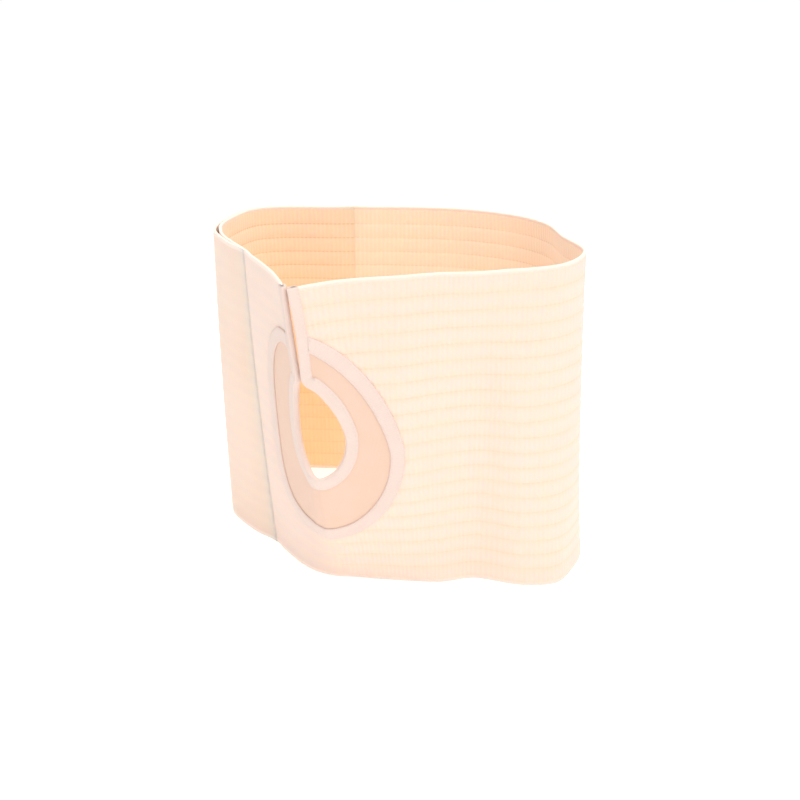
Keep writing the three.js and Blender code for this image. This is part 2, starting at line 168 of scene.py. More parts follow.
@dataclass
class BeltWall:
    """The wall that every piece lies on.

    Its plan at a height is the parabola through the foot, waist and rim lines. A leaning wall keeps
    its length, so its height is the sum, over small steps up the cloth, of the square root of the
    step squared less the square of the sideways move. Where the two ends overlap, one layer lies
    half a step inside the line and the other half a step outside it.
    """

    width: float = 0.300
    depth: float = 0.250
    height: float = 0.260
    inner_end: float = 0.345
    outer_end: float = 0.100
    ease: float = 0.020
    layer_step: float = 0.0032
    gape_reach: float = 0.013
    gape_depth: float = 0.040
    gape_inward: float = 0.0017
    gape_past_corner: float = 0.004
    samples: int = 48
    levels: int = 53
    shift: tuple[float, float] = (0.0, 0.0)
    lines: Array = field(init=False)
    slopes: Array = field(init=False)
    lengths: Array = field(init=False)
    rises: Array = field(init=False)

    def __post_init__(self) -> None:
        """Samples the three lines, their slopes, the waist's lengths and the heights."""
        scale = np.array([self.width, self.depth])
        self.lines = np.stack([closed_line(np.array([row[k] for row in SECTIONS]) * scale, self.samples)
                               for k in (1, 2, 3)])
        self.slopes = np.roll(self.lines, -1, axis=1) - np.roll(self.lines, 1, axis=1)
        waist = np.vstack([self.lines[1], self.lines[1][:1]])
        steps = np.linalg.norm(np.diff(waist, axis=0), axis=1)
        self.lengths = np.concatenate([[0.0], np.cumsum(steps)])
        count = self.lines.shape[1]
        ups = np.linspace(0.0, self.height, self.levels)
        turns, heights = np.meshgrid(np.arange(count, dtype=float), ups, indexing="ij")
        places = self.blend(self.lines, turns, heights)
        moves = np.linalg.norm(np.diff(places, axis=1), axis=2)
        climb = np.sqrt(np.maximum((ups[1] - ups[0]) ** 2 - moves**2, 0.0))
        self.rises = np.concatenate([np.zeros((count, 1)), np.cumsum(climb, axis=1)], axis=1)

    @property
    def lap(self) -> float:
        """The waist line's whole length."""
        return float(self.lengths[-1])

    def along_of(self, name: str) -> float:
        """How far along the band a section lies.

        Args:
            name: The section's name.

        Returns:
            Its distance from the slit at half height, less than nothing on the left.
        """
        names = [row[0] for row in SECTIONS]
        here = self.lengths[names.index(name) * self.samples]
        return float(here - self.lengths[names.index("slit") * self.samples])

    def turn(self, along: Array) -> Array:
        """The sample number, with its fraction, at a distance along the band."""
        slit = -self.along_of("back")
        return np.interp(np.mod(along + slit, self.lap), self.lengths, np.arange(len(self.lengths)))

    def blend(self, lines: Array, turn: Array, up: Array) -> Array:
        """The parabola through foot, waist and rim.

        With t the share of the height, the foot weighs (1 - t)(1 - 2t), the waist 4t(1 - t) and the
        rim t(2t - 1).

        Args:
            lines: The rim, waist and foot samples, or their slopes.
            turn: Sample numbers with fractions.
            up: Heights on the cloth.

        Returns:
            The plan vectors, with one more axis than turn.
        """
        count = lines.shape[1]
        low = np.floor(turn).astype(int)
        part = (turn - low)[..., None]
        rim, waist, foot = (line[low % count] * (1 - part) + line[(low + 1) % count] * part
                            for line in lines)
        t = (up / self.height)[..., None]
        return foot * (1 - t) * (1 - 2 * t) + waist * 4 * t * (1 - t) + rim * t * (2 * t - 1)

    def layer_out(self, along: Array) -> Array:
        """How far the cloth's middle lies off the ring line, by the spiral of its two layers.

        It is half the layer step, times an ease that starts at the outer end's place less one, plus
        an ease that ends where the cloth comes round to the inner end's place.

        Args:
            along: Distance from the slit.

        Returns:
            Distances off the ring line, outwards.
        """
        leaves = smooth_step((along + self.outer_end) / self.ease)
        meets = smooth_step((along - self.lap + self.inner_end + self.ease) / self.ease)
        return self.layer_step / 2 * (leaves - 1 + meets)

    def gape(self, along: Array, up: Array) -> Array:
        """How far the inner layer stands off inwards at the rim of the left corner.

        It is a bell along the band, the exponential of less the square of the distance from the
        corner, times an ease up to the rim.

        Args:
            along: Distance from the slit.
            up: Height on the cloth.

        Returns:
            Distances off the wall, none of them outwards.
        """
        middle = self.along_of("left_corner") + self.gape_past_corner
        bell = np.exp(-(((along - middle) / self.gape_reach) ** 2))
        rise = smooth_step((up - self.height + self.gape_depth) / self.gape_depth)
        return -self.gape_inward * bell * rise

    def points(self, along: Array, up: Array, out: Array) -> Array:
        """Cloth places as points in space.

        Args:
            along: Distance from the slit.
            up: Height on the cloth.
            out: Distance off the wall's middle.

        Returns:
            One row of X, Y and Z for each place, in the shape of along with an axis more.
        """
        along, up, out = np.broadcast_arrays(along, up, out)
        turn = self.turn(along)
        plan = self.blend(self.lines, turn, up)
        slope = self.blend(self.slopes, turn, up)
        slope = slope / np.linalg.norm(slope, axis=-1, keepdims=True)
        away = (out + self.layer_out(along) + self.gape(along, up))[..., None]
        plan = plan + np.stack([slope[..., 1], -slope[..., 0]], axis=-1) * away
        count = self.rises.shape[0]
        low = np.floor(turn).astype(int)
        part = turn - low
        level = np.clip(up / self.height, 0.0, 1.0) * (self.levels - 1)
        below = np.minimum(np.floor(level).astype(int), self.levels - 2)
        rest = level - below
        heights = [self.rises[(low + k) % count, below] * (1 - rest)
                   + self.rises[(low + k) % count, below + 1] * rest for k in (0, 1)]
        rise = heights[0] * (1 - part) + heights[1] * part
        return np.concatenate([plan + np.array(self.shift), rise[..., None]], axis=-1)


@dataclass(frozen=True)
class Oval:
    """An oval whose four quarters have their own reach and fullness.

    On each quarter, the share of the reach sideways to the power of the fullness and the share of
    the reach upwards to the same power add up to one.
    """

    middle: float
    reach: dict[Side, float]
    top: dict[Side, float]
    bottom: float
    top_fullness: dict[Side, float]
    bottom_fullness: dict[Side, float]

    def point(self, angle: Array, grow: Array | float = 0.0) -> tuple[Array, Array, Array, Array]:
        """Points of the oval and the directions away from its middle.

        Args:
            angle: Angles from the right, turning upwards.
            grow: How far off the oval the points lie, square to its edge.

        Returns:
            Along, up, and the away direction's two parts.
        """
        to_right = np.cos(angle) >= 0
        to_top = np.sin(angle) >= 0

        def pick(pair: dict[Side, float]) -> Array:
            """The value of each angle's own side."""
            return np.where(to_right, pair[Side.RIGHT], pair[Side.LEFT])

        across = pick(self.reach)
        upward = np.where(to_top, pick(self.top), self.bottom)
        power = np.where(to_top, pick(self.top_fullness), pick(self.bottom_fullness))
        x = np.abs(np.cos(angle)) ** (2 / power)
        y = np.abs(np.sin(angle)) ** (2 / power)
        slope_x = np.where(to_right, 1.0, -1.0) * x ** (power - 1) / across
        slope_y = np.where(to_top, 1.0, -1.0) * y ** (power - 1) / upward
        size = np.hypot(slope_x, slope_y)
        away_along, away_up = slope_x / size, slope_y / size
        along = np.where(to_right, across, -across) * x
        up = self.middle + np.where(to_top, upward, -upward) * y
        return along + away_along * grow, up + away_up * grow, away_along, away_up

    def half_width(self, up: Array, side: Side, grow: float) -> Array:
        """Half the oval's width at each height on one side.

        Args:
            up: Heights on the cloth.
            side: Which side of the slit.
            grow: How much further than the oval every reach goes.

        Returns:
            Distances from the slit line, 0 above and below the oval.
        """
        above = up >= self.middle
        upward = np.where(above, self.top[side], self.bottom) + grow
        power = np.where(above, self.top_fullness[side], self.bottom_fullness[side])
        share = np.minimum(np.abs(up - self.middle) / upward, 1.0)
        return (self.reach[side] + grow) * (1 - share**power) ** (1 / power)

    def top_at(self, along: float, side: Side, grow: float = 0.0) -> float:
        """The oval's height on its upper part.

        Args:
            along: Distance from the slit line, without its sign.
            side: Which side of the slit.
            grow: How much further than the oval every reach goes.

        Returns:
            The height on the cloth.
        """
        power = self.top_fullness[side]
        share = along / (self.reach[side] + grow)
        return self.middle + (self.top[side] + grow) * (1 - share**power) ** (1 / power)


OPENING = Oval(
    middle=0.140,
    reach={Side.RIGHT: 0.026, Side.LEFT: 0.022},
    top={Side.RIGHT: 0.049, Side.LEFT: 0.049},
    bottom=0.032,
    top_fullness={Side.RIGHT: 1.5, Side.LEFT: 1.8},
    bottom_fullness={Side.RIGHT: 2.0, Side.LEFT: 2.2},
)
SEAM = Oval(
    middle=0.123,
    reach={Side.RIGHT: 0.0635, Side.LEFT: 0.066},
    top={Side.RIGHT: 0.099, Side.LEFT: 0.094},
    bottom=0.070,
    top_fullness={Side.RIGHT: 1.5, Side.LEFT: 3.2},
    bottom_fullness={Side.RIGHT: 2.0, Side.LEFT: 3.0},
)


@dataclass(frozen=True)
class Keyhole:
    """The edge of the slit and the opening: down the slit, round a fillet and down the opening."""

    slit_half: float = 0.0012
    slit_gape: float = 0.0009
    fillet: float = 0.011
    slit_width: float = 0.0075
    opening_width: float = 0.0095
    slit_steps: int = 46
    fillet_steps: int = 10
    opening_steps: int = 44
    search_shares: int = 4001

    @property
    def beside(self) -> float:
        """How far from the slit line a piece that ends beside the binding lies."""
        return self.slit_half + self.slit_width + PIECE_GAP

    def one_side(self, side: Side, height: float) -> Array:
        """The edge on one side, from the rim down to the foot of the opening.

        Args:
            side: Which side of the slit.
            height: The band's height.

        Returns:
            Rows of along, up, the direction into the cloth, and the binding's width.
        """
        sign = side.value
        middle = 0.0 if side is Side.RIGHT else math.pi

        def on_opening(share: Array) -> tuple[Array, Array, Array, Array]:
            """The opening's edge at a share of the way from its top to its foot."""
            return OPENING.point(middle + sign * math.pi / 2 * (1 - 2 * np.asarray(share)))

        shares = np.linspace(0.0, 0.5, self.search_shares)
        along, up, away_along, away_up = on_opening(shares)
        reached = sign * (along + self.fillet * away_along) - (self.slit_half + self.fillet)
        first = int(np.argmax(reached >= 0))
        late = float(shares[first])
        fillet_up = float(up[first] + self.fillet * away_up[first])
        turn = math.acos(min(sign * float(away_along[first]), 1.0))
        share = np.linspace(0.0, 1.0, self.slit_steps, endpoint=False)
        gape = self.slit_half + self.slit_gape * np.sin(math.pi * share)
        slit = np.stack([sign * gape, height + (fillet_up - height) * share,
                         np.full_like(share, sign), np.zeros_like(share),
                         np.full_like(share, self.slit_width)], axis=1)
        share = np.linspace(0.0, 1.0, self.fillet_steps, endpoint=False)
        angle = turn * share
        fillet = np.stack([sign * (self.slit_half + self.fillet * (1 - np.cos(angle))),
                           fillet_up - self.fillet * np.sin(angle), sign * np.cos(angle), np.sin(angle),
                           self.slit_width + (self.opening_width - self.slit_width) * share], axis=1)
        parts = on_opening(late + (1 - late) * np.linspace(0.0, 1.0, self.opening_steps + 1))
        opening = np.stack([*parts, np.full(self.opening_steps + 1, self.opening_width)], axis=1)
        return np.vstack([slit, fillet, opening])

    def whole(self, height: float) -> Array:
        """The whole edge, down the right side and up the left one.

        Args:
            height: The band's height.

        Returns:
            Rows as one_side gives them.
        """
        right = self.one_side(Side.RIGHT, height)
        left = self.one_side(Side.LEFT, height)
        return np.vstack([right, left[:-1][::-1]])


KEYHOLE = Keyhole()


@dataclass
class ClothMesh:
    """A closed mesh in the making, with values that its material reads at each corner."""

    name: str
    points: Array
    faces: Array
    cloth: Array
    values: dict[str, Array] = field(default_factory=dict)

    def build(self) -> bpy.types.Object:
        """Makes the mesh and its object.

        Returns:
            The new object, linked to the scene, with a UV map of the cloth's own metres.
        """
        mesh = bpy.data.meshes.new(self.name)
        used = self.faces.astype(np.int32)
        short = used[:, 3] == used[:, 2]
        loops = np.where(short, 3, 4).astype(np.int32)
        corners = used.ravel()[np.stack([np.ones_like(short)] * 3 + [~short], axis=1).ravel()]
        mesh.vertices.add(len(self.points))
        mesh.vertices.foreach_set("co", self.points.astype(np.float32).ravel())
        mesh.loops.add(len(corners))
        mesh.loops.foreach_set("vertex_index", corners)
        mesh.polygons.add(len(used))
        starts = np.concatenate([[0], np.cumsum(loops)[:-1]])
        mesh.polygons.foreach_set("loop_start", starts.astype(np.int32))
        mesh.polygons.foreach_set("use_smooth", np.ones(len(used), dtype=bool))
        layer = mesh.uv_layers.new(name="cloth")
        layer.data.foreach_set("uv", self.cloth[corners].astype(np.float32).ravel())
        for name, value in self.values.items():
            attribute = mesh.attributes.new(name, "FLOAT", "POINT")
            attribute.data.foreach_set("value", value.astype(np.float32).ravel())
        mesh.update()
        mesh.validate()
        made = bpy.data.objects.new(self.name, mesh)
        bpy.context.scene.collection.objects.link(made)
        return made


def wall_faces(rows: int, columns: int, gone: Array, same: Array) -> Array:
    """Faces of a wall with a front and a back made from one grid of cloth places.

    The front's vertices come first and the back's follow in the same order. Every edge of the front
    that only one face uses gets a side face between the two.

    Args:
        rows: Rows of the grid, from low to high.
        columns: Columns of the grid, to the right.
        gone: One value for each column gap: true where it holds no cloth.
        same: For each grid vertex, the one that stands for it.

    Returns:
        Rows of four vertex numbers.
    """
    index = np.arange(rows * columns).reshape(rows, columns)
    kept = ~gone
    quads = np.stack([index[:-1, :-1][:, kept], index[:-1, 1:][:, kept], index[1:, 1:][:, kept],
                      index[1:, :-1][:, kept]], axis=-1).reshape(-1, 4)
    front = same[quads]
    count = rows * columns
    back = front[:, ::-1] + count
    starts = front.ravel()
    ends = np.roll(front, -1, axis=1).ravel()
    real = starts != ends
    starts, ends = starts[real], ends[real]
    lone = ~np.isin(starts * count + ends, ends * count + starts)
    starts, ends = starts[lone], ends[lone]
    sides = np.stack([ends, starts, starts + count, ends + count], axis=1)
    return np.vstack([front, back, sides])


def swept_faces(stations: int, ring: int) -> Array:
    """Faces of a closed section carried along stations, with fan-shaped ends.

    Args:
        stations: How many times the section stands along the path.
        ring: How many points the section has, listed clockwise as seen from the path's start.

    Returns:
        Rows of four vertex numbers, the last two alike on a triangle. The two ends' middle points
        are the two vertices after all the rings.
    """
    index = np.arange(stations * ring).reshape(stations, ring)
    here, ahead = index[:-1], index[1:]
    shell = np.stack([here, ahead, np.roll(ahead, -1, axis=1), np.roll(here, -1, axis=1)], axis=-1)
    first, last = index[0], index[-1]
    near = np.stack([first, np.roll(first, -1), np.full(ring, stations * ring),
                     np.full(ring, stations * ring)], axis=-1)
    far = np.stack([np.roll(last, -1), last, np.full(ring, stations * ring + 1),
                    np.full(ring, stations * ring + 1)], axis=-1)
    return np.vstack([shell.reshape(-1, 4), near, far])


class Dye:
    """Adds shader nodes to a material and wires them."""

    def __init__(self, name: str) -> None:
        """Starts a material with a principled shader and the piece's own cloth map.

        Args:
            name: The material's name.
        """
        self.material = bpy.data.materials.new(name)
        self.material.use_nodes = True
        self.tree = self.material.node_tree
        self.tree.nodes.clear()
        self.shader = self.tree.nodes.new("ShaderNodeBsdfPrincipled")
        output = self.tree.nodes.new("ShaderNodeOutputMaterial")
        self.tree.links.new(self.shader.outputs["BSDF"], output.inputs["Surface"])
        self.map = self.node("ShaderNodeUVMap", uv_map="cloth").outputs["UV"]
        parts = self.node("ShaderNodeSeparateXYZ", {"Vector": self.map})
        self.along, self.up = parts.outputs["X"], parts.outputs["Y"]

    def node(self, kind: str, inputs: dict | None = None, **settings: object) -> bpy.types.Node:
        """Adds a node.

        Args:
            kind: The node's type name.
            inputs: Its input sockets by name or number, each with a value or a socket to link.
            settings: Its other settings.

        Returns:
            The new node.
        """
        made = self.tree.nodes.new(kind)
        for name, value in settings.items():
            setattr(made, name, value)
        for key, value in (inputs or {}).items():
            if isinstance(value, bpy.types.NodeSocket):
                self.tree.links.new(value, made.inputs[key])
            else:
                made.inputs[key].default_value = value
        return made

    def math(self, operation: str, *values: object) -> bpy.types.NodeSocket:
        """One sum on two or three values or sockets."""
        return self.node("ShaderNodeMath", dict(enumerate(values)), operation=operation).outputs[0]

    def times(self, first: object, *others: object) -> bpy.types.NodeSocket:
        """The product of all the values or sockets."""
        for other in others:
            first = self.math("MULTIPLY", first, other)
        return first

    def less(self, value: object) -> bpy.types.NodeSocket:
        """One less the value."""
        return self.math("SUBTRACT", 1.0, value)

    def ease(self, value: object, start: float, end: float, low: float = 0.0,
             high: float = 1.0) -> bpy.types.NodeSocket:
        """Eases from low to high as the value goes from start to end."""
        made = self.node("ShaderNodeMapRange", {0: value, 1: start, 2: end, 3: low, 4: high},
                         interpolation_type="SMOOTHSTEP")
        return made.outputs[0]

    def waves(self, value: object, per_metre: float) -> bpy.types.NodeSocket:
        """Even waves between 0 and 1, so many to a metre."""
        turned = self.math("MULTIPLY", value, 2 * math.pi * per_metre)
        return self.math("MULTIPLY_ADD", self.math("SINE", turned), 0.5, 0.5)

    def cloud(self, scale: float, detail: float = 2.0) -> bpy.types.NodeSocket:
        """Soft noise from 0 to 1 on the cloth map."""
        made = self.node("ShaderNodeTexNoise", {"Vector": self.map, "Scale": scale, "Detail": detail})
        return made.outputs[0]

    def mottle(self, scale: float, detail: float, share: float) -> bpy.types.NodeSocket:
        """Soft patches from 0 to a share on the cloth map."""
        return self.ease(self.cloud(scale, detail), *MOTTLE_SPAN, 0.0, share)

    def value(self, name: str) -> bpy.types.NodeSocket:
        """A value that the mesh carries."""
        return self.node("ShaderNodeAttribute", attribute_name=name).outputs["Fac"]

    def mix(self, share: object, first: object, second: object) -> bpy.types.NodeSocket:
        """A colour between two.

        Args:
            share: How much of the second one there is, from 0 to 1.
            first: A colour or a socket.
            second: Another colour or socket.

        Returns:
            The mixed colour's socket.
        """
        pair = [(*c, 1.0) if isinstance(c, tuple) else c for c in (first, second)]
        made = self.node("ShaderNodeMix", {0: share, 6: pair[0], 7: pair[1]}, data_type="RGBA")
        return made.outputs[2]

    def finish(self, colour: object, height: object, depth: float, roughness: float,
               sheen: float) -> bpy.types.Material:
        """Wires the colour and the bump to the shader.

        Args:
            colour: The colour's socket.
            height: The bump's socket, from 0 to 1.
            depth: The bump's depth in metres.
            roughness: The shader's roughness.
            sheen: The weight of the cloth's sheen.

        Returns:
            The finished material.
        """
        bump = self.node("ShaderNodeBump", {"Strength": 1.0, "Distance": depth, "Height": height})
        self.tree.links.new(colour, self.shader.inputs["Base Color"])
        self.tree.links.new(bump.outputs[0], self.shader.inputs["Normal"])
        self.shader.inputs["Roughness"].default_value = roughness
        self.shader.inputs["Sheen Weight"].default_value = sheen
        self.shader.inputs["Sheen Roughness"].default_value = 0.5
        self.shader.inputs["Specular IOR Level"].default_value = 0.25
        return self.material

    def scatter(self, weight: float, spread: Colour, reach: float) -> None:
        """Lets light pass through the cloth.

        Args:
            weight: How much of the light goes into the cloth.
            spread: How far red, green and blue go, as shares of the reach.
            reach: The furthest distance in metres.
        """
        self.shader.inputs["Subsurface Weight"].default_value = weight
        self.shader.inputs["Subsurface Radius"].default_value = spread
        self.shader.inputs["Subsurface Scale"].default_value = reach


@dataclass(frozen=True)
class RibbedElastic:
    """The band's elastic: soft crosswise ribs with stitched grooves in painted shade, fine upright ribs,
    pale selvages.
    """

    cloth: Colour = (0.890, 0.700, 0.590)
    # Painted shade over the hollows by the grooves on the outer face, and in the grooves and between the
    # upright ribs.
    hollow_shade: Colour = (0.885, 0.690, 0.550)
    groove: Colour = (0.790, 0.610, 0.450)
    selvage: Colour = (0.900, 0.740, 0.645)
    # Painted bounce light on the inner face, and a darker orange painted shade on the inner layer's tail,
    # darkest low down.
    inner_bounce_light: Colour = (0.985, 0.815, 0.655)
    inside_bounce_shade: Colour = (0.980, 0.660, 0.400)
    upper_bounce_light: Colour = (0.985, 0.745, 0.540)
    plain: Colour = (0.790, 0.635, 0.545)
    tail: Colour = (0.810, 0.610, 0.490)
    # Painted shade in the sharp grooves on the inner layer's tail.
    crisp_groove_shade: Colour = (0.860, 0.600, 0.360)
    fine_ribs: float = 1 / 0.0038
    stitches: float = 1 / 0.0011
    scattered: float = 0.4
    spread: Colour = (1.0, 0.6, 0.35)
    scatter_reach: float = 0.0025
    wander_scale: float = 45.0
    wander: float = 0.10
    # How far from each groove the wide, the soft and the sharp painted shade reach.
    hollow_shade_reach: float = 0.42
    groove_shade_reach: float = 0.07
    crisp_shade_reach: Span = (0.01, 0.06)
    patch_scale: float = 28.0
    patches: Span = (0.35, 0.65)
    patch_least: float = 0.35
    dot_least: float = 0.35
    # Heights over which that painted shade lightens from its low colour to its upper one.
    bounce_shade_heights: Span = (0.10, 0.22)
    mottle_scale: float = 14.0
    mottle_detail: float = 3.0
    mottle_share: float = 0.20
    # How strong the painted shade is between the upright ribs and in the grooves.
    upright_shade_share: float = 0.12
    groove_shade_share: float = 0.70
    fine_height: float = 0.7
    stitch_height: float = 0.3
    flat_height: float = 0.3
    selvage_height: float = 0.25
    grain_scale: float = 900.0
    grain: float = 0.25
    bump: float = 0.00022
    roughness: float = 0.85
    sheen: float = 0.15

    def material(self) -> bpy.types.Material:
        """The elastic's material.

        The grooves wander a little and are broken into patches and dots, except far inside the ring,
        where they are sharp lines. The darkening in and by the grooves and between the upright ribs is
        painted shade. The inner face carries painted bounce light, and on the inner layer's tail a darker
        orange painted shade, darkest low down.

        Returns:
            The finished material.
        """
        dye = Dye("ribbed_elastic_finish")
        inner, crisp_shade_zone, selvage, flat = (dye.value(name) for name in ("inner", "crisp_shade_zone", "selvage", "flat"))
        shown = dye.less(flat)
        wander = dye.math("MULTIPLY_ADD", dye.cloud(self.wander_scale), self.wander, -self.wander / 2)
        wandered = dye.math("ADD", dye.value("rib"), dye.times(wander, dye.less(crisp_shade_zone)))
        turned = dye.math("FRACT", dye.math("ADD", wandered, 0.5))
        off = dye.math("ABSOLUTE", dye.math("SUBTRACT", turned, 0.5))
        # Painted shade by the grooves: wide over the hollows, soft in the grooves, sharp on the inner
        # layer's tail.
        broad_shade = dye.ease(off, 0.0, self.hollow_shade_reach, 1.0, 0.0)
        soft = dye.ease(off, 0.0, self.groove_shade_reach, 1.0, 0.0)
        sharp = dye.ease(off, *self.crisp_shade_reach, 1.0, 0.0)
        # Patches and dots that break up the painted groove shade.
        patchy = dye.ease(dye.cloud(self.patch_scale), *self.patches, self.patch_least, 1.0)
        fine = dye.waves(dye.along, self.fine_ribs)
        dots = dye.ease(fine, 0.0, 1.0, 1.0, self.dot_least)
        # Painted bounce light on the inner face; on the inner layer's tail a darker orange painted shade,
        # darkest low down.
        inside_bounce_shade = dye.mix(dye.ease(dye.up, *self.bounce_shade_heights), self.inside_bounce_shade, self.upper_bounce_light)
        base = dye.mix(inner, self.cloth, dye.mix(crisp_shade_zone, self.inner_bounce_light, inside_bounce_shade))
        # Colours laid over the base one by one; the layers for the hollows, the upright ribs and the grooves
        # are painted shade.
        layers = (
            (flat, self.tail),
            (dye.value("bare"), self.plain),
            (dye.mottle(self.mottle_scale, self.mottle_detail, self.mottle_share), self.selvage),
            (dye.times(broad_shade, shown, dye.less(inner)), self.hollow_shade),
            (dye.times(dye.less(fine), shown, self.upright_shade_share), self.groove),
            (dye.times(soft, shown, patchy, dots, self.groove_shade_share), self.groove),
            (dye.times(sharp, crisp_shade_zone, dots), self.crisp_groove_shade),
            (selvage, self.selvage),
        )
        for share, colour in layers:
            base = dye.mix(share, base, colour)
        stitch = dye.times(dye.waves(dye.up, self.stitches), self.stitch_height)
        threads = dye.math("MULTIPLY_ADD", fine, self.fine_height, stitch)
        threads = dye.times(threads, dye.ease(shown, 0.0, 1.0, self.flat_height, 1.0),
                            dye.ease(selvage, 0.0, 1.0, 1.0, self.selvage_height))
        height = dye.math("ADD", threads, dye.times(dye.cloud(self.grain_scale), self.grain))
        dye.scatter(self.scattered, self.spread, self.scatter_reach)
        return dye.finish(base, height, self.bump, self.roughness, self.sheen)


@dataclass(frozen=True)
class SmoothKnit:
    """The panel's smooth knit: salmon, with fine upright wales and a soft nap."""

    cloth: Colour = (0.785, 0.560, 0.440)
    shade: Colour = (0.765, 0.530, 0.405)
    wales: float = 1000.0
    courses: float = 1300.0
    mottle_scale: float = 40.0
    mottle_detail: float = 4.0
    mottle_share: float = 0.5
    wale_share: float = 0.12
    wale_height: float = 0.6
    course_height: float = 0.3
    grain_scale: float = 1200.0
    grain: float = 0.3
    bump: float = 0.00008
    roughness: float = 0.9
    sheen: float = 0.25

    def material(self) -> bpy.types.Material:
        """The knit's material.

        Returns:
            The finished material.
        """
        dye = Dye("smooth_knit_finish")
        wale = dye.waves(dye.along, self.wales)
        course = dye.waves(dye.up, self.courses)
        mottle = dye.mottle(self.mottle_scale, self.mottle_detail, self.mottle_share)
        base = dye.mix(mottle, self.cloth, self.shade)
        base = dye.mix(dye.times(wale, self.wale_share), base, self.shade)
        height = dye.math("MULTIPLY_ADD", wale, self.wale_height, dye.times(course, self.course_height))
        height = dye.math("ADD", height, dye.times(dye.cloud(self.grain_scale), self.grain))
        return dye.finish(base, height, self.bump, self.roughness, self.sheen)


@dataclass(frozen=True)
class WovenTape:
    """Pale woven tape with threads across it and a stitched line near each edge, with painted shade in the
    hollows between its ribs and along its edges.
    """

    name: str
    weave: Weave
    cloth: Colour = (0.790, 0.640, 0.570)
    shade: Colour = (0.750, 0.580, 0.505)
    # The stitches' colour, also used for the painted shade along the edges.
    thread_and_edge_shade: Colour = (0.700, 0.500, 0.410)
    stitches: float = 1 / 0.0032
    stitch_span: Span = (0.25, 0.6)
    mottle_scale: float = 60.0
    mottle_detail: float = 3.0
    mottle_share: float = 0.3
    # How strong the painted shade in the hollows between the ribs is.
    hollow_shade_share: float = 0.25
    stitch_share: float = 0.18
    # How strong the painted shade along the edges is.
    edge_shade_share: float = 0.2
    rib_height: float = 0.6
    thread_height: float = 0.25
    stitch_depth: float = 0.8
    bump: float = 0.00018
    roughness: float = 0.8
    sheen: float = 0.2

    def material(self) -> bpy.types.Material:
        """The tape's material.

        Returns:
            The finished material.
        """
        dye = Dye(self.name)
        length, across = self.weave.value
        ribs = dye.waves(dye.along, length)
        threads = dye.waves(dye.up, across)
        stitched = dye.value("stitched")
        stitch = dye.ease(dye.waves(dye.along, self.stitches), *self.stitch_span)
        mottle = dye.mottle(self.mottle_scale, self.mottle_detail, self.mottle_share)
        base = dye.mix(mottle, self.cloth, self.shade)
        # Painted shade in the hollows between the ribs.
        base = dye.mix(dye.times(dye.less(ribs), self.hollow_shade_share), base, self.shade)
        base = dye.mix(dye.times(stitch, stitched, self.stitch_share), base, self.thread_and_edge_shade)
        # Painted shade along the tape's edges.
        base = dye.mix(dye.times(dye.value("edge"), self.edge_shade_share), base, self.thread_and_edge_shade)
        height = dye.math("MULTIPLY_ADD", ribs, self.rib_height, dye.times(threads, self.thread_height))
        height = dye.math("SUBTRACT", height, dye.times(stitched, self.stitch_depth))
        return dye.finish(base, height, self.bump, self.roughness, self.sheen)


@dataclass(frozen=True)
class HookAndLoop:
    """The fastener's fuzzy face."""

    cloth: Colour = (0.880, 0.740, 0.620)
    shade: Colour = (0.760, 0.600, 0.480)
    fuzz_scale: float = 700.0
    fuzz_detail: float = 4.0
    fuzz_span: Span = (0.35, 0.65)
    rows: float = 1 / 0.0016
    row_height: float = 0.4
    bump: float = 0.00030
    roughness: float = 0.95
    sheen: float = 0.4

    def material(self) -> bpy.types.Material:
        """The fastener's material.

        Returns:
            The finished material.
        """
        dye = Dye("hook_and_loop_finish")
        fuzz = dye.cloud(self.fuzz_scale, self.fuzz_detail)
        base = dye.mix(dye.ease(fuzz, *self.fuzz_span), self.cloth, self.shade)
        height = dye.math("ADD", fuzz, dye.times(dye.waves(dye.along, self.rows), self.row_height))
        return dye.finish(base, height, self.bump, self.roughness, self.sheen)


